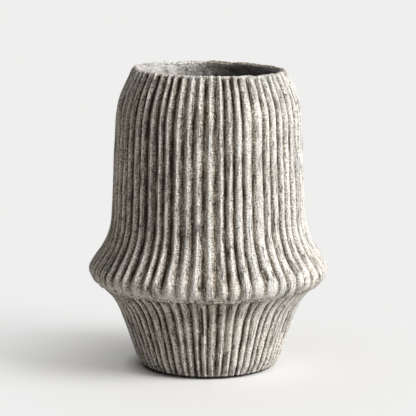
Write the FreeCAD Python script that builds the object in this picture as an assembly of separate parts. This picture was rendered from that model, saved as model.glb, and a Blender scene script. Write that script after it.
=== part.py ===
"""Fluted stoneware urn vase, about 305 mm tall and 242 mm across its flange.

The pot is hand built from sections of clay. A floor slab carries a flared lower wall. A luting coil joins
that wall, rim to rim, to a bell-shaped upper wall, and a lip coil closes the top. Both walls are carved all
round with upright ribs, and the ribs of the two walls are out of step with each other. A glaze coat makes
the inside hold water, and four felt pads under the foot keep it off the table.

Millimetres, +Z up. The origin is the middle of the circle on the table that the pads stand on.
"""

import FreeCAD
import Part

import math
import os

# Driving dimensions
vase_height = 305.0  # table to the top of the lip
pad_thickness = 2.0
pad_radius = 8.0

# Crest outline, from the floor slab up to the lip. Each corner has a radius and a place up the pot,
# and its bend is the radius that rounds it off.
ankle_radius = 72.2  # where the lower wall stands on the slab
waist_radius = 94.6
waist_height = 72.8
waist_bend = 61.7
flange_radius = 125.6
flange_height = 99.3
flange_bend = 12.9
neck_radius = 98.3
neck_height = 138.2
neck_bend = 70.4
shoulder_radius = 92.9
shoulder_drop = 33.0  # how far below the top of the lip
shoulder_bend = 87.4
lip_radius = 76.5
lip_bend = 5.0
mouth_radius = 69.3  # inside, where the wall thins towards the lip

# Clay
slab_thickness = 8.0
foot_radius = 65.0  # edge of the flat underside
edge_bulge = 1.0  # how far the bevel between foot and ankle is rounded out
recess_radius = 36.0
recess_depth = 1.4
wall = 9.5
seam_height = 88.5  # middle of the luting coil
seam_thickness = 4.6
seam_bulge = 0.9  # how far the coil was squeezed out
lip_thickness = 3.2
lip_inner_bend = 3.0
glaze_thickness = 0.8

# Ribs
upper_rib_count = 58
lower_rib_count = 64
rib_depth = 3.2  # from crest to groove, at the neck

# One rib across its pitch: how far along, and how deep below the crest.
rib_shares = ((0.0, 1.0), (0.2, 0.3), (0.5, 0.0), (0.8, 0.3))
# Hand carving lets a groove stray from its even place by up to this share of the pitch,
# in this many waves round the pot.
stray_share = 0.12
stray_waves = (5, 8)

edge_steps = 3  # straight steps that follow the slab's bevel
bend_steps = 3  # straight steps that follow a rounded corner of the outline
hollow_steps = 1  # the same inside, where the clay was only smoothed by hand
hollow_sides = 36
ring_sides = 40
pad_sides = 24
pad_count = 4

overrun = 10.0  # how far a cut runs past what it cuts


# Outline
def rounded(corners, bends, steps):
    """Points of a polyline whose inner corners are rounded off by the bends."""
    points = [corners[0]]
    for before, corner, after, bend in zip(corners, corners[1:], corners[2:], bends):
        to_before = (before - corner).normalize()
        to_after = (after - corner).normalize()
        half_turn = (math.pi - to_before.getAngle(to_after)) / 2
        shorter = min(before.distanceToPoint(corner), after.distanceToPoint(corner))
        reach = min(bend * math.tan(half_turn), shorter / 2)
        radius = reach / math.tan(half_turn)
        middle = corner + (to_before + to_after).normalize() * (radius / math.cos(half_turn) - radius)
        arc = Part.Arc(corner + to_before * reach, middle, corner + to_after * reach)
        points += arc.toShape().discretize(Number=steps + 1)
    return points + [corners[-1]]


def inset(corners, distance):
    """The same polyline moved in by a distance, with its corners mitred."""
    ways = [(after - before).normalize() for before, after in zip(corners, corners[1:])]
    moved = []
    for corner, arriving, leaving in zip(corners, ways[:1] + ways, ways + ways[-1:]):
        inward = FreeCAD.Vector(-arriving.z - leaving.z, 0, arriving.x + leaving.x).normalize()
        square = FreeCAD.Vector(-arriving.z, 0, arriving.x)
        moved.append(corner + inward * (distance / inward.dot(square)))
    return moved


def radius_at(points, height):
    """Radius of an outline that rises all the way. Its first and last stretch run on straight."""
    pairs = list(zip(points, points[1:]))
    low, high = next((pair for pair in pairs if height <= pair[1].z), pairs[-1])
    return low.x + (high.x - low.x) * (height - low.z) / (high.z - low.z)


def point_at(points, height):
    return FreeCAD.Vector(radius_at(points, height), 0, height)


def stretch(points, low, high):
    """The part of an outline between two heights, with a point at each end."""
    between = [point for point in points if low < point.z < high]
    return [point_at(points, low)] + between + [point_at(points, high)]


slab_top = pad_thickness + slab_thickness
seam_low = seam_height - seam_thickness / 2
seam_high = seam_height + seam_thickness / 2
lip_low = vase_height - lip_thickness

crest_corners = [
    FreeCAD.Vector(ankle_radius, 0, slab_top),
    FreeCAD.Vector(waist_radius, 0, waist_height),
    FreeCAD.Vector(flange_radius, 0, flange_height),
    FreeCAD.Vector(neck_radius, 0, neck_height),
    FreeCAD.Vector(shoulder_radius, 0, vase_height - shoulder_drop),
    FreeCAD.Vector(lip_radius, 0, vase_height),
]
crest_bends = (waist_bend, flange_bend, neck_bend, shoulder_bend)
hollow_corners = inset(crest_corners, wall)[:-1] + [FreeCAD.Vector(mouth_radius, 0, vase_height)]
crest = rounded(crest_corners, crest_bends, bend_steps)
hollow = rounded(hollow_corners, crest_bends, hollow_steps)
glazed = rounded(inset(hollow_corners, glaze_thickness), crest_bends, hollow_steps)


# Solids
def around(point, turn):
    """A point of an outline, turned about the axis by a share of a full turn."""
    angle = 2 * math.pi * turn
    return FreeCAD.Vector(point.x * math.cos(angle), point.x * math.sin(angle), point.z)


def closed(points):
    return Part.makePolygon(points + points[:1])


def many_sided(points, sides, ring=False):
    """Form about the axis through points of an outline, with flat sides, which take few facets.

    A ring's outline closes on itself. Any other form is filled, with a flat face at each end.
    """
    rings = [[around(point, side / sides) for side in range(sides)] for point in points]
    faces = []
    if ring:
        rings.append(rings[0])
    else:
        faces = [Part.Face(closed(rings[0])), Part.Face(closed(rings[-1]))]
    for low, high in zip(rings, rings[1:]):
        for side in range(sides):
            faces.append(Part.Face(closed([low[side - 1], low[side], high[side], high[side - 1]])))
    skin = Part.Shell(faces)
    skin.sewShape()
    return Part.Solid(skin)


def rib_ring(crest_point, count):
    """Closed wire round the crests and grooves of the ribs at one height. Wider rings have deeper ribs."""
    points = []
    for rib in range(count):
        for along, below in rib_shares:
            turn = (rib + along) / count
            swings = [math.sin(2 * math.pi * waves * turn) for waves in stray_waves]
            stray = stray_share / count * sum(swings) / len(swings)
            depth = rib_depth * below * crest_point.x / neck_radius
            place = FreeCAD.Vector(crest_point.x - depth, 0, crest_point.z)
            points.append(around(place, turn + stray))
    return closed(points)


def ribbed_wall(low, high, rib_count):
    """Wall section with ribs all round, lofted from height to height and hollowed out."""
    rings = [rib_ring(point, rib_count) for point in stretch(crest, low, high)]
    cavity = many_sided(stretch(hollow, low - overrun, high + overrun), hollow_sides)
    return Part.makeLoft(rings, True, True).cut(cavity)


def base_slab():
    """Floor slab with a rounded bevel and a shallow recess under it, inside the ring that stands."""
    foot = FreeCAD.Vector(foot_radius, 0, pad_thickness)
    ankle = FreeCAD.Vector(ankle_radius, 0, slab_top)
    outward = FreeCAD.Vector(slab_thickness, 0, foot_radius - ankle_radius).normalize()
    bevel = Part.Arc(foot, (foot + ankle) / 2 + outward * edge_bulge, ankle).toShape()
    outline = bevel.discretize(Number=edge_steps + 1)
    recess_ends = (pad_thickness - overrun, pad_thickness + recess_depth)
    recess = many_sided([FreeCAD.Vector(recess_radius, 0, z) for z in recess_ends], ring_sides)
    return many_sided(outline, ring_sides).cut(recess)


def seam_coil():
    """Luting coil between the two walls, squeezed out a little all round."""
    out = FreeCAD.Vector(radius_at(crest, seam_height) + seam_bulge, 0, seam_height)
    outer = Part.Arc(point_at(crest, seam_low), out, point_at(crest, seam_high)).toShape()
    inner = [point_at(hollow, seam_high), point_at(hollow, seam_low)]
    return many_sided(outer.discretize(Number=bend_steps + 1) + inner, ring_sides, ring=True)


def lip_coil():
    """Rounded lip, flush inside with the glaze, whose edge it covers."""
    inner_radius = radius_at(glazed, lip_low)
    corners = [
        point_at(crest, lip_low),
        FreeCAD.Vector(lip_radius, 0, vase_height),
        FreeCAD.Vector(inner_radius, 0, vase_height),
        FreeCAD.Vector(inner_radius, 0, lip_low),
    ]
    return many_sided(rounded(corners, [lip_bend, lip_inner_bend], bend_steps), ring_sides, ring=True)


def glaze_coat():
    """Thin skin over the floor and up the inside of both walls, as far as the lip."""
    outside = many_sided(stretch(hollow, slab_top, lip_low), hollow_sides)
    inside = many_sided(stretch(glazed, slab_top + glaze_thickness, lip_low + overrun), hollow_sides)
    return outside.cut(inside)


def felt_pad(number):
    """One of the pads on the ring that stands, between the recess and the foot's edge."""
    place = FreeCAD.Vector((recess_radius + foot_radius) / 2, 0, 0)
    pad = many_sided([FreeCAD.Vector(pad_radius, 0, z) for z in (0, pad_thickness)], pad_sides)
    return pad.translated(around(place, (number - 1 / 2) / pad_count))


# Pieces
pieces = {
    "base_slab": base_slab(),
    "lower_wall": ribbed_wall(slab_top, seam_low, lower_rib_count),
    "seam_coil": seam_coil(),
    "upper_wall": ribbed_wall(seam_high, lip_low, upper_rib_count),
    "lip_coil": lip_coil(),
    "glaze_coat": glaze_coat(),
}
for number in range(1, pad_count + 1):
    pieces[f"felt_pad_{number}"] = felt_pad(number)

os.makedirs("parts", exist_ok=True)
for name, piece in pieces.items():
    print(name, len(piece.Solids), "solid", len(piece.Faces), "faces", round(piece.Volume / 1000, 1), "cm3")
    piece.exportStep(f"parts/{name}.step")
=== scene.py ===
"""Looks of a fluted stoneware urn vase.

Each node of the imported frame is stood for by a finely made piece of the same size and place: walls with
wavering hand-cut ribs, a lumpy luting coil, a lip that the ribs run out over, a foot with a recess, a glazed
inside and felt pads. A piece is made of rows of points round the axis. A carved one has a row for each of a
list of runs, and a run is a distance along the crest outline. Metres, in the frame's own axes. The camera
stands at -Y.
"""

import math

import bpy
import numpy as np
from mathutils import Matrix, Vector


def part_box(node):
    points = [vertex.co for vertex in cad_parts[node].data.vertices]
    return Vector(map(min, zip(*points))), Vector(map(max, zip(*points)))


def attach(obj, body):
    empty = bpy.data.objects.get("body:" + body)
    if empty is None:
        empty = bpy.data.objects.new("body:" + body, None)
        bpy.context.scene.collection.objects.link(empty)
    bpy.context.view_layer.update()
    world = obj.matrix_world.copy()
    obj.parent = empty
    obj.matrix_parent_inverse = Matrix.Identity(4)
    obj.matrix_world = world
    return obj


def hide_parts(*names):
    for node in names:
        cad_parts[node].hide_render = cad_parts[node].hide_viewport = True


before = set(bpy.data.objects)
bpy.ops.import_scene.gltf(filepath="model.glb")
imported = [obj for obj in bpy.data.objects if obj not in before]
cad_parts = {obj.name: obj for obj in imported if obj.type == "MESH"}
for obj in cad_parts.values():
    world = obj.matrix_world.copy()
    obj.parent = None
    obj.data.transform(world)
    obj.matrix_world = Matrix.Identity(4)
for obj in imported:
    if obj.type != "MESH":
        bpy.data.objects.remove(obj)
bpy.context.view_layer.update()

mm = 0.001
full_turn = 2 * math.pi

# Sizes read from the frame
foot_z, slab_top_z = [corner.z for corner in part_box("base_slab")]
seam_low_z, seam_high_z = [corner.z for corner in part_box("seam_coil")]
lip_low_z, top_z = [corner.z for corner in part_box("lip_coil")]
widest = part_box("upper_wall")[1].x
pad_radius = (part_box("felt_pad_1")[1].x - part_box("felt_pad_1")[0].x) / 2

# Crest outline, from the underside of the foot to the inside of the lip. Each corner has a radius, as a share
# of the widest one, a height, as a share of the whole height, and a bend, as a share of the widest radius.
outline_shares = (
    (0.4550, 0.00656, 0.0),
    (0.5524, 0.00656, 0.029),
    (0.6087, 0.0426, 0.116),
    (0.7824, 0.2387, 0.5103),
    (1.0387, 0.3256, 0.1067),
    (0.8175, 0.4531, 0.5822),
    (0.7683, 0.8918, 0.7228),
    (0.6335, 1.002, 0.0414),
    (0.5820, 0.9935, 0.0248),
    (0.5820, 0.9895, 0.0),
)
outline_step = 0.2 * mm

# Clay
wall = 9.5 * mm
lip_wall = 6.2 * mm  # the wall thins to this at the top
thinning_share = 0.89  # share of the height at which it starts to thin
glaze_thickness = 0.8 * mm
throat = 40 * mm  # over this height below the lip the inside straightens up, to end flush with the lip
fullness = 0.5 * mm  # the crests stand this far out, on average, from the plain outline
lump_height = 0.35 * mm
small_lumps, large_lumps = 0.55, 0.8  # shares of that height
small_marks, broad_marks = 0.8 * mm, 0.6 * mm  # depths of the finger marks inside
marks_fade = 6 * mm  # which fade out over this height
wave_peak = 1.6  # how far a sum of random waves reaches, as a multiple of its usual size

# Foot
recess_radius = 36.0 * mm
recess_depth = 1.4 * mm
# Rings of the underside, from the middle out: how much wider than the recess, and how far above the foot
underside = (
    (-32 * mm, recess_depth), (-8 * mm, recess_depth), (-0.6 * mm, recess_depth),
    (0.0, recess_depth - 0.6 * mm), (0.2 * mm, 0.4 * mm), (0.8 * mm, 0.0), (8 * mm, 0.0),
)
slab_top_radii = (widest * 0.5, 30 * mm, 4 * mm)  # rings on the slab's upper side, from its edge in

# Mouth
fall_share = 0.75  # share of the height at which the mouth's fall and shift set in
rim_fall = 0.0190  # the mouth drops towards +X by this much for each unit of width
rim_shift = 1.2 * mm  # it also moves this far towards +X
rim_wave = 0.45 * mm  # unevenness of the mouth's edge
edge_share = 0.03  # share of the height over which that comes in
rim_shade = 0.6  # how much darker the lip's inner slope is painted on one side, as painted shade on the side away from the light
rim_shade_start = -0.5 * mm  # it sets in this far past the top of the lip
rim_shade_run = 1.5 * mm  # over this run
lip_tuck = 1.01  # the lip's underside starts behind its inner edge, this much wider

# Coil
coil_swell = 0.45 * mm  # how far the coil stands out, on average
coil_small, coil_broad = 0.65 * mm, 0.45 * mm  # its lumps
coil_tuck = 0.3 * mm  # how far its edges are sunk between the walls
coil_overlap = 0.5 * mm  # and how far they reach past its box
coil_tone = 0.80
coil_contrast, coil_edge_dark = 0.25, 0.3  # its lumps are lighter, and its edges darker, by these

# Sides of the pot that differ from the rest: turn of the middle, cosine of the angle from it at which the
# side sets in, and the rise of the cosine over which it does
broad_side = (math.radians(-33), 0.60, 0.22)  # the crests are broader
light_side = (math.radians(200), 0.50, 0.35)  # the grooves on the flange are shallower
shaded_rim_side = (math.radians(50), 0.55, 0.25)  # the lip's inner slope is painted darker, as painted shade on the side away from the light

# Ribs
rib_columns = 11  # points round the pot for each rib
groove_floor = 1.08  # how much deeper a groove would run without its floor
narrow_rib = 1.0  # a crest of this breadth rises straight from its grooves to a ridge
broad_rib = 2.3  # and one of this is fuller
breadth_range = (0.92, 1.10)  # factors by which single crests differ in breadth
crest_lean = 0.16  # how far a crest may lean to one side
crest_range = (-0.45 * mm, 0.25 * mm)  # how far it may stand below and above its even height
sway_lengths = (170 * mm, 75 * mm, 34 * mm)  # lengths of the waves in which a groove wanders
sway_range = (0.3, 1)  # factors by which single grooves differ in that
sway_power = 0.6  # shorter waves swing less, by this power of their length
depth_lengths = (90 * mm, 28 * mm)  # lengths of the waves in which a groove gets deeper and shallower
depth_sway = 0.08  # by this share
depth_range = (0.82, 1.12)  # factors by which single grooves differ in depth
end_range = (0.7, 1.4)  # and in the length over which they end
low_flat_z = 130 * mm  # from here down to the seam the crests get broader still

# Each wall has its own ribs. A groove starts up to "stray" from its even place and wanders by "sway", which
# are shares of the pitch. It fades out over low_run and high_run at its ends, whose heights stray by up to
# "ragged". From shallow_below down, over shallow_run, it gets shallower by the share "shallow", and on the
# light side by "lighter" as well. Near the seam the crests get broader by the share "flatter". The seed and
# the four numbers after it each start one set of random draws.
upper = {
    "count": 58, "seed": 11, "depth": 4.0 * mm, "stray": 0.12, "sway": 0.035, "ragged": 1.0 * mm,
    "low_end": 88.9 * mm, "low_run": 3.5 * mm, "high_end": 305.6 * mm, "high_run": 4.5 * mm,
    "shallow": 0.50, "lighter": 0.30, "shallow_below": 112 * mm, "shallow_run": 28 * mm, "flatter": 0.5,
    "nicks": 260,
}
lower = {
    "count": 64, "seed": 23, "depth": 2.9 * mm, "stray": 0.17, "sway": 0.06, "ragged": 0.9 * mm,
    "low_end": 1.5 * mm, "low_run": 2.5 * mm, "high_end": 86.7 * mm, "high_run": 1.2 * mm,
    "shallow": 0.0, "lighter": 0.0, "shallow_below": 0.0, "shallow_run": 1.0, "flatter": 0.15,
    "nicks": 150,
}

# Nicks: small chips and pits
nick_width = (0.5 * mm, 1.1 * mm)
nick_length = (0.6 * mm, 2.2 * mm)
nick_depth = (0.3 * mm, 0.9 * mm)
nick_reach = 3  # a nick fades out within this many times its length
nick_shade = 0.5  # how dark it is painted, as painted shade in its hollow, where a slit is 1

# Slits, where the tool slipped: turn in degrees, lowest and highest point, width
slits = (
    (266.0, 47 * mm, 82 * mm, 1.2 * mm), (265.6, 98 * mm, 108 * mm, 1.0 * mm),
    (299.2, 106 * mm, 121 * mm, 1.0 * mm), (302.8, 108 * mm, 118 * mm, 0.9 * mm),
    (240.5, 96 * mm, 104 * mm, 1.0 * mm), (131.0, 55 * mm, 74 * mm, 1.1 * mm),
    (47.0, 180 * mm, 204 * mm, 1.0 * mm),
)
slit_depth = 1.6 * mm
slit_fade = 4 * mm

# Felt pad from its underside to its top: radius and height as shares of the pad's own
pad_section = (
    (0.05, 0.0), (0.5, 0.0), (0.93, 0.0), (0.975, 0.12), (1.0, 0.35), (1.0, 0.7), (0.985, 0.93),
    (0.95, 1.0), (0.5, 1.0), (0.05, 1.0),
)
pad_fray = 0.012  # share of the radius by which its edge is uneven

# Textures
unrolled_radius = 95.0 * mm  # the walls' surface is laid out on a drum of this radius for them
plain_tone = 0.7  # tone of plain clay, between 0 in a groove and 1 on a crest
underside_tone = 0.8
foot_shade_z, foot_shade_end_z = 3.0 * mm, 4.2 * mm  # below the first height the clay is painted near black, as painted shade where the foot meets the floor, and above the second it has its own colour

# Set
backdrop = (0.892, 0.892, 0.892, 1)
floor_bounce = (0.65, 0.634, 0.607, 1)  # the floor's colour for the light that it throws back up
glow_reach = 2.2  # in flange radii
# Distances from the axis, as shares of that reach, and how much of the floor's shadow is filled in there
floor_glow = ((0.25, 0.0), (0.34, 0.32), (0.77, 0.65), (1.0, 0.78))
floor_radii = (0.4, 2.0, 30.0)
fill_level = 0.027
fill_colour = (1.0, 0.87, 0.70, 1)

# Camera, fitted to the photograph's outline
eye_place = (-0.0006, -2.133, 0.5217)
eye_tilt = math.radians(80.44)  # up from looking straight down
eye_lens = 184.2  # in millimetres, as is the sensor's width
eye_sensor = 36.0


# Outline
def rounded(corners, bends, step):
    """Points along a polyline whose inner corners are rounded off by the bends."""
    points = [corners[0]]
    for before, corner, after, bend in zip(corners, corners[1:], corners[2:], bends):
        back = (before - corner).normalized()
        on = (after - corner).normalized()
        half = (math.pi - back.angle(on)) / 2
        shorter = min((before - corner).length, (after - corner).length)
        reach = min(bend * math.tan(half), shorter / 2)
        radius = reach / math.tan(half)
        inward = (back + on).normalized()
        across = (on - back).normalized()
        centre = corner + inward * (radius / math.cos(half))
        steps = max(2, round(2 * half * radius / step))
        for number in range(steps + 1):
            angle = half * (2 * number / steps - 1)
            points.append(centre + (across * math.sin(angle) - inward * math.cos(angle)) * radius)
    points.append(corners[-1])
    return np.array([[point.x, point.y] for point in points])


def resampled(points, step):
    """Evenly spaced points along a polyline, with the distance run and the outward normal at each."""
    run = np.concatenate([[0], np.cumsum(np.hypot(*np.diff(points, axis=0).T))])
    along = np.linspace(0, run[-1], round(run[-1] / step) + 1)
    radius = np.interp(along, run, points[:, 0])
    height = np.interp(along, run, points[:, 1])
    radius_slope = np.gradient(radius, along)
    height_slope = np.gradient(height, along)
    length = np.hypot(radius_slope, height_slope)
    return {"run": along, "r": radius, "z": height, "nr": height_slope / length, "nz": -radius_slope / length}


def outline_path():
    """The crest outline, in metres."""
    corners = [Vector((radius * widest, height * top_z)) for radius, height, _ in outline_shares]
    bends = [bend * widest for _, _, bend in outline_shares[1:-1]]
    return resampled(rounded(corners, bends, outline_step), outline_step)


path = outline_path()
rising = slice(0, int(np.argmax(path["z"])) + 1)


def run_at(height):
    """Distance run along the outline where it first reaches a height."""
    return float(np.interp(height, path["z"][rising], path["run"][rising]))


def on_path(run, key):
    """Radius, height or part of the normal at a run along the outline."""
    return np.interp(run, path["run"], path[key])


def raised(run, out):
    """Radius and height of points that stand out from the outline."""
    return on_path(run, "r") + on_path(run, "nr") * out, on_path(run, "z") + on_path(run, "nz") * out


# Hand-made unevenness
def settled(height, end, length):
    """0 below an end, rising smoothly to 1 over a length above it."""
    share = np.clip((height - end) / length, 0, 1)
    return share * share * (3 - 2 * share)


def on_side(turn, side):
    """1 on one side of the pot, falling smoothly to 0 away from it."""
    middle, edge, length = side
    return settled(np.cos(turn - middle), edge, length)


def waves(turn, run, seed, count, turn_waves, run_length=1.0):
    """Smooth random field round the pot and along its outline, between about -1 and 1."""
    rng = np.random.default_rng(seed)
    total = np.zeros(np.broadcast(turn, run).shape)
    for _ in range(count):
        waves_round = rng.integers(0, turn_waves + 1)
        rate = rng.uniform(-1, 1) * full_turn / run_length
        total += np.cos(waves_round * turn + rate * run + rng.uniform(0, full_turn))
    return total / math.sqrt(count / 2) / wave_peak


def groove_turns(section, run):
    """Turn of each groove at each row, in radians: one row for each run, one column for each groove."""
    rng = np.random.default_rng(section["seed"])
    count = section["count"]
    places = np.arange(count) + rng.uniform(-1, 1, count) * section["stray"]
    sway = np.zeros((len(run), count))
    for length in sway_lengths:
        phase = rng.uniform(0, full_turn, count)
        size = rng.uniform(*sway_range, count) * section["sway"] * (length / sway_lengths[0]) ** sway_power
        sway += size * np.sin(full_turn * run[:, None] / length + phase)
    turns = (places + sway) * full_turn / count
    return np.hstack([turns, turns[:, :1] + full_turn])


def groove_depths(section, run):
    """Depth of each groove at each row. Grooves end raggedly, and the upper ones do so over the lip's edge.

    Past the top of the lip, the height that an end is given in runs on along the outline.
    """
    height = (on_path(run, "z") + np.maximum(run - run_at(top_z), 0))[:, None]
    rng = np.random.default_rng(section["seed"] + 1)
    count = section["count"]
    depth = np.full((len(run), count), section["depth"])
    for length in depth_lengths:
        phase = rng.uniform(0, full_turn, count)
        depth *= 1 + depth_sway * np.sin(full_turn * run[:, None] / length + phase)
    depth *= rng.uniform(*depth_range, count)
    low = section["low_end"] + rng.uniform(-1, 1, count) * section["ragged"]
    high = section["high_end"] + rng.uniform(-1, 1, count) * section["ragged"]
    depth *= settled(height, low, section["low_run"] * rng.uniform(*end_range, count))
    depth *= settled(-height, -high, section["high_run"] * rng.uniform(*end_range, count))
    near_seam = settled(-height, -section["shallow_below"], section["shallow_run"])
    lighter = section["lighter"] * on_side(np.arange(count) * full_turn / count, light_side)
    depth *= 1 - (section["shallow"] + lighter) * near_seam
    return np.hstack([depth, depth[:, :1]])


def rib_breadths(section):
    """How broad each rib's crest is."""
    rng = np.random.default_rng(section["seed"] + 4)
    count = section["count"]
    broad = on_side(np.arange(count) * full_turn / count, broad_side)
    return (narrow_rib + (broad_rib - narrow_rib) * broad) * rng.uniform(*breadth_range, count)


def rib_shape(along, breadth):
    """Height of a rib across its pitch, from 0 on the narrow floor of its grooves to 1 on its crest."""
    return 1 - np.minimum(groove_floor * np.abs(2 * np.clip(along, 0, 1) - 1) ** breadth, 1)


def across_ribs(grooves, along):
    """Values across each rib, for each row, from those at the grooves on its two sides."""
    return grooves[:, :-1, None] * (1 - along) + grooves[:, 1:, None] * along


def carved(section, run):
    """Turn, depth of carving and even turn for each row and column of a ribbed surface."""
    count = section["count"]
    along = np.arange(rib_columns) / rib_columns
    turn = across_ribs(groove_turns(section, run), along)
    depth = across_ribs(groove_depths(section, run), along)
    rng = np.random.default_rng(section["seed"] + 2)
    lean = rng.uniform(-crest_lean, crest_lean, count)[None, :, None]
    leaning = along + lean * along * (1 - along) * 2
    crest = rng.uniform(*crest_range, count)[None, :, None]
    crest = crest * np.minimum(depth / section["depth"], 1) * np.sin(math.pi * along) ** 2
    flatter = 1 + section["flatter"] * settled(-on_path(run, "z"), -low_flat_z, low_flat_z - seam_high_z)
    breadth = rib_breadths(section)[None, :, None] * flatter[:, None, None]
    cut = depth * (1 - rib_shape(leaning, breadth)) - crest
    even = (np.arange(count)[:, None] + along[None, :]).reshape(-1) * full_turn / count
    rows = len(run)
    return turn.reshape(rows, -1), cut.reshape(rows, -1), np.broadcast_to(even, (rows, count * rib_columns))


def turned_from(turn, middle):
    """Turn from a middle one, the short way round."""
    return (turn - middle + math.pi) % full_turn - math.pi


def nicked(section, turn, run, cut):
    """The cut with nicks and slits added, and how dark each point is painted for them, as painted shade in
    these hollows.
    """
    rng = np.random.default_rng(section["seed"] + 3)
    hollow_shade = np.zeros_like(cut)
    radius = on_path(run, "r")[:, None]
    for _ in range(section["nicks"]):
        middle, at_run = rng.uniform(0, full_turn), rng.uniform(run.min(), run.max())
        width, length = rng.uniform(*nick_width), rng.uniform(*nick_length)
        depth = rng.uniform(*nick_depth)
        rows = np.nonzero(np.abs(run - at_run) < nick_reach * length)[0]
        away = turned_from(turn[rows], middle) * radius[rows]
        share = np.exp(-(away / width) ** 2 - ((run[rows, None] - at_run) / length) ** 2)
        cut[rows] += depth * share
        hollow_shade[rows] = np.maximum(hollow_shade[rows], share * nick_shade)
    height = on_path(run, "z")[:, None]
    for degrees, low, high, width in slits:
        away = turned_from(turn, math.radians(degrees)) * radius
        share = np.exp(-(away / width) ** 2)
        share = share * settled(height, low, slit_fade) * settled(-height, -high, slit_fade)
        cut += slit_depth * share
        hollow_shade = np.maximum(hollow_shade, share)
    return cut, hollow_shade


def lumps(turn, run):
    """How far the hand-smoothed clay stands out from an even form."""
    small = waves(turn, run, seed=5, count=24, turn_waves=40, run_length=30 * mm)
    large = waves(turn, run, seed=6, count=12, turn_waves=7, run_length=120 * mm)
    return lump_height * (small_lumps * small + large_lumps * large)


def placed(turn, radius, height):
    """Points at turns round the axis, with the mouth's slight fall towards +X and its uneven edge."""
    x, y = radius * np.cos(turn), radius * np.sin(turn)
    start = fall_share * top_z
    share = settled(height, start, top_z - start)
    edge = settled(height, (1 - edge_share) * top_z, edge_share * top_z)
    wave = rim_wave * waves(turn, 0 * turn, seed=7, count=14, turn_waves=30)
    return np.stack([x + rim_shift * share, y, height - rim_fall * x * share + wave * edge], axis=-1)


def on_drum(turn, run):
    """Where points lie on the drum that the textures use."""
    x, y = unrolled_radius * np.cos(turn), unrolled_radius * np.sin(turn)
    return np.stack([x, y, np.broadcast_to(run, turn.shape)], axis=-1)


def skin(section, run):
    """Carved surface of the pot for a list of runs along the outline: points, relief and drum places."""
    turn, cut, even = carved(section, run)
    # the nicks and slits are painted dark, as painted shade in these hollows
    cut, hollow_shade = nicked(section, turn, run, cut)
    run = run[:, None]
    rows = placed(turn, *raised(run, lumps(turn, run) + fullness - cut))
    # relief runs from 0 on a groove's floor to 1 on a crest; the material paints low relief dark, partly as
    # painted shade in the grooves
    relief = np.clip(1 - cut / section["depth"], 0, 1) * (1 - hollow_shade)
    return rows, relief, on_drum(even, run)


# Inside
def wall_at(run):
    """Thickness of the clay, which thins towards the lip."""
    return np.interp(on_path(run, "z"), (thinning_share * top_z, top_z), (wall, lip_wall))


def inner_point(run, further):
    """Radius and height of the inside of the wall, or of a point further in."""
    distance = wall_at(run) + further
    upright = settled(on_path(run, "z"), lip_low_z - throat, throat)
    radius = on_path(run, "r") - on_path(run, "nr") * distance
    throat_radius = path["r"][-1] - fullness - lump_height + glaze_thickness - further
    height = on_path(run, "z") - on_path(run, "nz") * distance * (1 - upright)
    return radius * (1 - upright) + throat_radius * upright, height


def finger_marks(turn, run):
    """How far the potter's fingers pushed the inside out. The marks fade out at the floor and at the lip."""
    small = waves(turn, run, seed=41, count=30, turn_waves=24, run_length=35 * mm)
    broad = waves(turn, run, seed=42, count=10, turn_waves=6, run_length=150 * mm)
    height = on_path(run, "z")
    fade = settled(height, slab_top_z, marks_fade) * settled(-height, -lip_low_z, marks_fade)
    return (small_marks * small + broad_marks * broad) * fade


def inner_run(height, further):
    """Run along the outline whose inner point has a height."""
    runs = path["run"][rising]
    return float(np.interp(height, inner_point(runs, further)[1], runs))


def inner_rows(turn, start, end, count, further=0.0):
    """Rows on the inside of the wall, or further in, from one height to another."""
    run = np.linspace(inner_run(start, further), inner_run(end, further), count)[:, None]
    radius, height = inner_point(run, further - finger_marks(turn[None, :], run))
    return placed(np.broadcast_to(turn, radius.shape), radius, height)


# Meshes
def add_field(mesh, name, values, count, width):
    """Point attribute of a mesh. Points past the given values get the last of them."""
    if values is None:
        return
    flat = values.reshape(-1, width)
    flat = np.concatenate([flat, np.repeat(flat[-1:], count - len(flat), axis=0)])
    kind, slot = ("FLOAT", "value") if width == 1 else ("FLOAT_VECTOR", "vector")
    mesh.attributes.new(name, kind, "POINT").data.foreach_set(slot, flat.astype(np.float32).reshape(-1))


def grid_object(name, rows, relief=None, drum=None, closed_ring=True, caps=()):
    """Object from rows of points round the axis.

    A closed ring joins its last row to its first. A cap is a row that a fan of triangles closes, with True
    where the fan is turned over.
    """
    count, columns = rows.shape[:2]
    points = rows.reshape(-1, 3)
    here = np.arange(columns)
    right = (here + 1) % columns
    pairs = [(row, row + 1) for row in range(count - 1)]
    if closed_ring:
        pairs.append((count - 1, 0))
    faces = []
    for row, other in pairs:
        low, high = row * columns, other * columns
        faces += np.stack([low + here, low + right, high + right, high + here], axis=1).tolist()
    for number, (row, turned) in enumerate(caps):
        ring = row * columns + here
        after = row * columns + right
        fan = np.stack([after, ring] if turned else [ring, after], axis=1)
        faces += [[a, b, len(points) + number] for a, b in fan.tolist()]
    middles = [rows[row].mean(axis=0) for row, _ in caps]
    points = np.concatenate([points, np.reshape(middles, (-1, 3))])
    mesh = bpy.data.meshes.new(name)
    mesh.from_pydata(points.tolist(), [], faces)
    add_field(mesh, "relief", relief, len(points), 1)
    add_field(mesh, "drum", drum, len(points), 3)
    mesh.validate()
    mesh.polygons.foreach_set("use_smooth", np.ones(len(mesh.polygons), dtype=bool))
    mesh.update()
    piece = bpy.data.objects.new(name, mesh)
    bpy.context.scene.collection.objects.link(piece)
    return piece


def even_turns(columns):
    return np.linspace(0, full_turn, columns, endpoint=False)


def turns_of(rows):
    """Turn of each column, read from the last row."""
    return np.arctan2(rows[-1, :, 1], rows[-1, :, 0])


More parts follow.
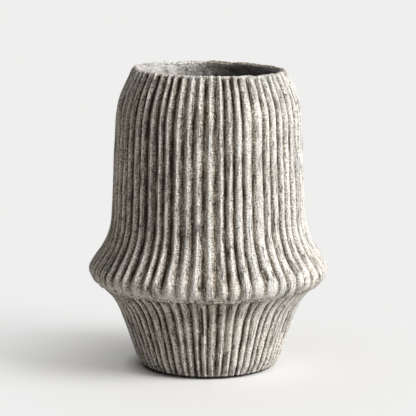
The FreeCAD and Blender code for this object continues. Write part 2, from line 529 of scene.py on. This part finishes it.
def level_ring(turn, radius, height, x=0.0, y=0.0):
    """Ring of points at one height, round the axis or round another middle."""
    heights = np.full(len(turn), height)
    return np.stack([x + radius * np.cos(turn), y + radius * np.sin(turn), heights], axis=-1)


def level_rings(edge, shares, height):
    """Rings inside an edge, each a share of its size, at one height."""
    rings = np.stack([share * edge for share in shares])
    rings[..., 2] = height
    return rings


def plain(rows, beside, tone=plain_tone):
    """Surface of plain clay: points, one tone and the drum places of the row beside it."""
    return rows, np.full(rows.shape[:2], tone), np.broadcast_to(beside, (len(rows), *beside.shape[1:]))


def joined(*surfaces):
    """Surfaces one after another: points, relief and drum places."""
    return [np.concatenate(parts) for parts in zip(*surfaces)]


# Pieces
def ribbed_piece(name, section, low, high, outer_count, inner_count):
    """One wall section: carved outside, plain inside, closed at both ends."""
    outer = skin(section, np.linspace(run_at(low), run_at(high), outer_count))
    inner = inner_rows(turns_of(outer[0]), high, low, inner_count)
    return grid_object(name, *joined(outer, plain(inner, outer[2][-1:])))


def upper_wall():
    return ribbed_piece("urn_upper_wall", upper, seam_high_z, lip_low_z, outer_count=130, inner_count=24)


def lower_wall():
    return ribbed_piece("urn_lower_wall", lower, slab_top_z, seam_low_z, outer_count=76, inner_count=14)


def seam_coil():
    """Lumpy coil that was squeezed out between the two walls."""
    outer_count, inner_count, columns = 16, 3, upper["count"] * rib_columns
    low, high = run_at(seam_low_z), run_at(seam_high_z)
    run = np.linspace(low - coil_overlap, high + coil_overlap, outer_count)[:, None]
    turn = np.broadcast_to(even_turns(columns), (outer_count, columns))
    share = np.clip((run - low) / (high - low), 0, 1)
    swell = 4 * share * (1 - share)
    small = waves(turn, run, seed=31, count=30, turn_waves=130, run_length=12 * mm)
    broad = waves(turn, 0 * run, seed=32, count=16, turn_waves=60)
    out = lumps(turn, run) + swell * (coil_swell + coil_small * small + coil_broad * broad)
    out -= (1 - np.minimum(1, 4 * swell)) * coil_tuck
    relief = np.clip(coil_tone + coil_contrast * small - coil_edge_dark * (1 - swell), 0, 1)
    drum = on_drum(turn, run)
    outer = placed(turn, *raised(run, out)), relief, drum
    inner = inner_rows(turn[0], seam_high_z, seam_low_z, inner_count)
    return grid_object("urn_seam_coil", *joined(outer, plain(inner, drum[-1:])))


def lip_coil():
    """Lip whose inside slopes inwards from the top, with the ribs' upper ends running out over its edge."""
    row_count, last_gap, end = 26, 0.1 * mm, path["run"][-1]
    run = np.append(np.linspace(run_at(lip_low_z), end - last_gap, row_count), end)
    rows, relief, drum = skin(upper, run)
    # painted shade on the lip's inner slope, on the side away from the light
    slope = settled(run[:, None], run_at(top_z) + rim_shade_start, rim_shade_run)
    relief = relief * (1 - rim_shade * slope * on_side(turns_of(rows), shaded_rim_side))
    tucked = rows[-1:] * (lip_tuck, lip_tuck, 1)
    return grid_object("urn_lip_coil", *joined((rows, relief, drum), (tucked, relief[-1:], drum[-1:])))


def base_slab():
    """Floor slab with a rounded edge, and a shallow recess under it inside the ring that stands."""
    outer_count = 18
    outer = skin(lower, np.linspace(0, run_at(slab_top_z), outer_count))
    turn = turns_of(outer[0])
    under = np.stack([level_ring(turn, recess_radius + wider, foot_z + up) for wider, up in underside])
    top = np.stack([level_ring(turn, radius, slab_top_z) for radius in slab_top_radii])
    surface = joined(plain(under, outer[2][:1], underside_tone), outer, plain(top, outer[2][-1:]))
    return grid_object("urn_base_slab", *surface, closed_ring=False,
                       caps=((0, True), (len(surface[0]) - 1, False)))


def glaze_coat():
    """Skin of glaze over the floor and up the inside, uneven where it ran over the potter's finger marks."""
    columns, inner_count, outer_count, lap = 240, 110, 60, 1.0 * mm
    turn = even_turns(columns)
    shares = (0.04, 0.5, 0.9)
    floor_z = slab_top_z + glaze_thickness
    sheet = inner_rows(turn, floor_z, lip_low_z + lap, inner_count, glaze_thickness)
    back = inner_rows(turn, lip_low_z, slab_top_z, outer_count)
    rows = np.concatenate([
        level_rings(sheet[0], shares, floor_z), sheet, back, level_rings(sheet[0], shares[::-1], slab_top_z),
    ])
    return grid_object("urn_glaze_coat", rows, closed_ring=False, caps=((0, False), (len(rows) - 1, True)))


def felt_pad(number):
    """Pressed felt disc with a softly rounded, slightly frayed edge."""
    low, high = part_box(f"felt_pad_{number}")
    centre = (low + high) / 2
    columns, first_seed = 72, 60
    turn = even_turns(columns)
    fray = 1 - pad_fray * np.random.default_rng(first_seed + number).uniform(0, 1, columns)
    rows = np.stack([
        level_ring(turn, pad_radius * radius * fray, low.z + (high.z - low.z) * height, centre.x, centre.y)
        for radius, height in pad_section
    ])
    return grid_object(f"urn_felt_pad_{number}", rows, closed_ring=False,
                       caps=((0, True), (len(rows) - 1, False)))


# Materials
class Shader:
    """Small helper that adds nodes to one material or world and links them."""

    def __init__(self, owner):
        owner.use_nodes = True
        self.owner = owner
        self.tree = owner.node_tree

    def put(self, socket, value):
        if isinstance(value, bpy.types.NodeSocket):
            self.tree.links.new(value, socket)
        else:
            socket.default_value = value

    def fill(self, node, inputs):
        for key, value in inputs.items():
            self.put(node.inputs[key], value)
        return node

    def add(self, kind, inputs=None, **settings):
        made = self.tree.nodes.new(kind)
        for key, value in settings.items():
            setattr(made, key, value)
        return self.fill(made, inputs or {})

    def surface(self, inputs):
        return self.fill(self.tree.nodes["Principled BSDF"], inputs)

    def place(self, key="Object"):
        return self.add("ShaderNodeTexCoord").outputs[key]

    def axis(self, vector, key):
        return self.add("ShaderNodeSeparateXYZ", {"Vector": vector}).outputs[key]

    def stretched(self, vector, scale):
        return self.add("ShaderNodeMapping", {"Vector": vector, "Scale": scale}).outputs["Vector"]

    def field(self, name, output):
        return self.add("ShaderNodeAttribute", attribute_name=name).outputs[output]

    def math(self, operation, *values, clamp=False):
        made = self.add("ShaderNodeMath", dict(enumerate(values)), operation=operation, use_clamp=clamp)
        return made.outputs[0]

    def stirred(self, value, noise, strength):
        """A value with noise round its own middle added."""
        return self.math("MULTIPLY_ADD", self.math("SUBTRACT", noise, 0.5), strength, value)

    def noise(self, vector, scale, detail=2.0, rough=0.5):
        made = self.add("ShaderNodeTexNoise", {"Vector": vector, "Scale": scale, "Detail": detail,
                                              "Roughness": rough})
        return made.outputs[0]

    def ramp(self, factor, stops):
        made = self.add("ShaderNodeValToRGB", {"Fac": factor})
        line = made.color_ramp
        while len(line.elements) < len(stops):
            line.elements.new(0.5)
        for element, (place, colour) in zip(line.elements, stops):
            element.position = place
            element.color = (*colour, 1)
        return made.outputs["Color"]

    def spread(self, value, low, high, to_low=0.0, to_high=1.0):
        made = self.add("ShaderNodeMapRange", {"Value": value, "From Min": low, "From Max": high,
                                              "To Min": to_low, "To Max": to_high})
        return made.outputs["Result"]

    def mix(self, factor, first, second, blend="MIX"):
        made = self.add("ShaderNodeMix", {0: factor, 6: first, 7: second}, data_type="RGBA", blend_type=blend)
        return made.outputs[2]

    def grey(self, value):
        return self.add("ShaderNodeCombineColor", {"Red": value, "Green": value, "Blue": value}).outputs[0]

    def bump(self, height, strength, distance, below=None):
        inputs = {"Height": height, "Strength": strength, "Distance": distance}
        if below is not None:
            inputs["Normal"] = below
        return self.add("ShaderNodeBump", inputs).outputs["Normal"]


def wash_and_groove_shade(m, place, relief, grain, streak):
    """Colour from dark in the grooves to the pale wash on the crests, with warmer patches; the grooves' dark
    is partly dark wash and partly painted shade in the recesses.
    """
    tone = m.stirred(relief, grain, 0.60)
    tone = m.stirred(tone, streak, 0.85)
    # the dark stops low in the relief are partly the clay's dark wash and partly painted shade in the grooves
    clay = m.ramp(tone, (
        (0.02, (0.030, 0.022, 0.015)), (0.14, (0.115, 0.094, 0.070)), (0.33, (0.34, 0.302, 0.252)),
        (0.64, (0.57, 0.538, 0.488)), (0.92, (0.82, 0.803, 0.770)),
    ))
    patch = m.noise(place, scale=16, detail=3.0)
    tint = m.ramp(patch, ((0.36, (0.95, 0.955, 0.955)), (0.50, (1.0, 1.0, 1.0)), (0.64, (1.0, 0.98, 0.955))))
    return m.mix(1.0, clay, tint, "MULTIPLY")


def scratches(m, place, drum):
    """1 in fine upright scratches, which come in groups."""
    thread = m.noise(m.stretched(drum, (1, 1, 0.05)), scale=330, rough=0.6)
    scratch = m.spread(m.math("ABSOLUTE", m.math("SUBTRACT", thread, 0.5)), 0.028, 0.0)
    group = m.spread(m.noise(place, scale=45), 0.44, 0.54)
    return m.math("MULTIPLY", scratch, group, clamp=True)


def pits(m, place):
    """1 in small round pits."""
    cells = m.add("ShaderNodeTexVoronoi", {"Vector": place, "Scale": 300.0, "Randomness": 1.0}, feature="F1")
    rare = m.math("GREATER_THAN", m.noise(place, scale=120, detail=1.0), 0.52)
    return m.math("MULTIPLY", m.spread(cells.outputs["Distance"], 0.24, 0.12), rare, clamp=True)


def stoneware():
    """Gritty unglazed clay: pale wash on the crests, dark in the grooves, partly dark wash and partly painted
    shade, with specks, pits and scratches.

    Below the foot's edge the clay is painted near black, as painted shade where the foot meets the floor.
    """
    m = Shader(bpy.data.materials.new("gritty_stoneware"))
    place = m.place()
    drum = m.field("drum", "Vector")
    relief = m.field("relief", "Fac")
    grit = m.noise(place, scale=700, detail=1.0)
    grain = m.noise(place, scale=420, detail=3.0, rough=0.65)
    streak = m.noise(m.stretched(drum, (1, 1, 0.10)), scale=640, detail=3.0, rough=0.6)
    scratch = scratches(m, place, drum)
    pit = pits(m, place)
    specks = m.grey(m.spread(grit, 0.34, 0.66, to_low=0.35, to_high=1.60))
    speckled = m.spread(relief, 0.5, 0.9, to_low=1.0, to_high=0.4)
    # 0 near the bottom of the foot, rising to 1 a little above it: where the painted shade at the foot's edge
    # ends
    above_foot_shade = m.spread(m.axis(place, "Z"), foot_shade_z, foot_shade_end_z)
    clay = wash_and_groove_shade(m, place, relief, grain, streak)
    clay = m.mix(m.math("MULTIPLY", scratch, 0.75), clay, (0.07, 0.055, 0.042, 1))
    clay = m.mix(speckled, clay, specks, "MULTIPLY")
    # pits painted near black, as painted shade inside them
    clay = m.mix(m.math("MULTIPLY", pit, 0.85), clay, (0.03, 0.025, 0.02, 1))
    # the bottom of the foot painted near black, as painted shade where it meets the floor
    clay = m.mix(above_foot_shade, (0.035, 0.029, 0.023, 1), clay)
    coarse = m.bump(m.math("SUBTRACT", grain, m.math("MAXIMUM", pit, scratch)), 1.0, 2.2 * mm)
    lines = m.bump(streak, 0.7, 0.8 * mm, coarse)
    fine = m.bump(grit, 1.0, 0.4 * mm, lines)
    m.surface({"Base Color": clay, "Roughness": 0.92, "Specular IOR Level": 0.25, "Normal": fine})
    return m.owner


def inner_glaze():
    """Satin glaze, painted pale on the -X side of the inside and brown-grey towards +X, as painted light and
    painted shade.
    """
    m = Shader(bpy.data.materials.new("satin_inner_glaze"))
    place = m.place()
    cloud = m.noise(place, scale=26, detail=4.0, rough=0.6)
    lumpy = m.noise(place, scale=150, detail=3.0, rough=0.6)
    specks = m.noise(place, scale=620, rough=0.6)
    # painted light and shade across the inside: pale on the -X side, dark towards +X
    lit_and_shaded_side = m.spread(m.axis(place, "X"), -75 * mm, 55 * mm)
    lit_and_shaded_side = m.stirred(lit_and_shaded_side, cloud, 1.3)
    lit_and_shaded_side = m.stirred(lit_and_shaded_side, specks, 0.35)
    colour = m.ramp(lit_and_shaded_side, (
        (0.10, (0.53, 0.512, 0.485)), (0.30, (0.46, 0.442, 0.415)), (0.42, (0.16, 0.150, 0.134)),
        (0.62, (0.085, 0.077, 0.065)), (0.95, (0.040, 0.036, 0.031)),
    ))
    shade = m.grey(m.spread(lumpy, 0.35, 0.62, to_low=0.72, to_high=1.15))
    roughness = m.spread(cloud, 0.35, 0.65, to_low=0.30, to_high=0.55)
    normal = m.bump(lumpy, 1.0, 3.0 * mm, m.bump(specks, 0.6, 0.4 * mm))
    m.surface({"Base Color": m.mix(1.0, colour, shade, "MULTIPLY"), "Roughness": roughness, "Normal": normal})
    return m.owner


def felt():
    """Dense black felt with short loose fibres."""
    m = Shader(bpy.data.materials.new("black_felt"))
    place = m.place()
    fibre = m.noise(m.stretched(place, (1, 1, 0.4)), scale=2600, detail=3.0, rough=0.7)
    tuft = m.noise(place, scale=700, rough=0.6)
    both = m.math("MULTIPLY_ADD", tuft, 0.5, m.math("MULTIPLY", fibre, 0.5))
    colour = m.ramp(both, ((0.35, (0.012, 0.012, 0.013)), (0.65, (0.085, 0.083, 0.082))))
    normal = m.bump(fibre, 0.8, 0.2 * mm)
    m.surface({"Base Color": colour, "Roughness": 0.95, "Sheen Weight": 0.4, "Normal": normal})
    return m.owner


# Set
def seen_directly(m):
    """1 for rays from the camera and from gloss or glass, and 0 for the rays that light things."""
    rays = m.add("ShaderNodeLightPath")
    seen = rays.outputs["Is Camera Ray"]
    for kind in ("Is Glossy Ray", "Is Transmission Ray"):
        seen = m.math("MAXIMUM", seen, rays.outputs[kind])
    return seen


def floor_paper():
    """Pale paper that keeps a soft, light shadow and throws little light back up."""
    m = Shader(bpy.data.materials.new("pale_floor"))
    place = m.place()
    seen = seen_directly(m)
    tooth = m.ramp(m.noise(place, scale=900), ((0.0, (0.898, 0.900, 0.905)), (1.0, (0.908, 0.910, 0.915))))
    colour = m.mix(seen, floor_bounce, tooth)
    paper = m.surface({"Base Color": colour, "Roughness": 1.0, "Specular IOR Level": 0.0})
    glow = m.add("ShaderNodeEmission", {"Color": backdrop})
    away = m.add("ShaderNodeVectorMath", {"Vector": place}, operation="LENGTH").outputs["Value"]
    stops = [(distance, (level,) * 3) for distance, level in floor_glow]
    share = m.ramp(m.math("DIVIDE", away, widest * glow_reach), stops)
    both = m.add("ShaderNodeMixShader", {0: m.math("MULTIPLY", seen, share), 1: paper.outputs[0],
                                         2: glow.outputs[0]})
    m.put(m.tree.nodes["Material Output"].inputs["Surface"], both.outputs[0])
    return m.owner


def floor():
    """Large round floor, plain and pale."""
    columns = 96
    rings = np.stack([level_ring(even_turns(columns), radius, 0.0) for radius in floor_radii])
    ground = grid_object("studio_floor", rings, closed_ring=False, caps=((0, True),))
    ground.data.materials.append(floor_paper())


def direction(azimuth, elevation):
    azimuth, elevation = math.radians(azimuth), math.radians(elevation)
    return Vector((math.cos(azimuth) * math.cos(elevation), math.sin(azimuth) * math.cos(elevation),
                   math.sin(elevation)))


def sun(name, azimuth, elevation, energy, spread):
    lamp = bpy.data.lights.new(name, "SUN")
    lamp.energy = energy
    lamp.angle = math.radians(spread)
    holder = bpy.data.objects.new(name, lamp)
    bpy.context.scene.collection.objects.link(holder)
    holder.rotation_mode = "QUATERNION"
    holder.rotation_quaternion = direction(azimuth, elevation).to_track_quat("Z", "Y")


def lobe(m, towards, sharpness, strength):
    """Soft glow of the world round one direction."""
    dot = m.add("ShaderNodeVectorMath", {0: m.place("Generated"), 1: towards}, operation="DOT_PRODUCT")
    lit_side = m.math("MAXIMUM", dot.outputs["Value"], 0.0)
    return m.math("MULTIPLY", m.math("POWER", lit_side, sharpness), strength)


def light():
    """A broad light from the right, drawn out to the front, with a glow above it and a weak warm fill."""
    sun("key", azimuth=-25, elevation=31, energy=4.0, spread=34)
    sun("side", azimuth=-75, elevation=22, energy=0.34, spread=25)
    world = bpy.data.worlds.new("studio")
    bpy.context.scene.world = world
    m = Shader(world)
    glow = lobe(m, direction(azimuth=-20, elevation=60), sharpness=3.0, strength=0.38)
    warm = m.mix(1.0, m.math("ADD", glow, fill_level), fill_colour, "MULTIPLY")
    m.put(m.tree.nodes["Background"].inputs["Color"], m.mix(seen_directly(m), warm, backdrop))


def camera():
    """Long lens at the photograph's place, looking slightly down."""
    eye = bpy.data.cameras.new("camera")
    eye.sensor_width = eye_sensor
    eye.lens = eye_lens
    stand = bpy.data.objects.new("camera", eye)
    stand.location = eye_place
    stand.rotation_euler = (eye_tilt, 0, 0)
    bpy.context.scene.collection.objects.link(stand)
    bpy.context.scene.camera = stand


def dress(piece, node, material):
    """Give a piece its material, and let it ride and stand for its node."""
    piece.data.materials.append(material)
    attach(piece, "root")
    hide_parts(node)


clay = stoneware()
for node, make in (("base_slab", base_slab), ("lower_wall", lower_wall), ("seam_coil", seam_coil),
                   ("upper_wall", upper_wall), ("lip_coil", lip_coil)):
    dress(make(), node, clay)
dress(glaze_coat(), "glaze_coat", inner_glaze())
soft = felt()
for number in range(1, 5):
    dress(felt_pad(number), f"felt_pad_{number}", soft)

floor()
light()
camera()
bpy.context.scene.view_settings.view_transform = "Standard"
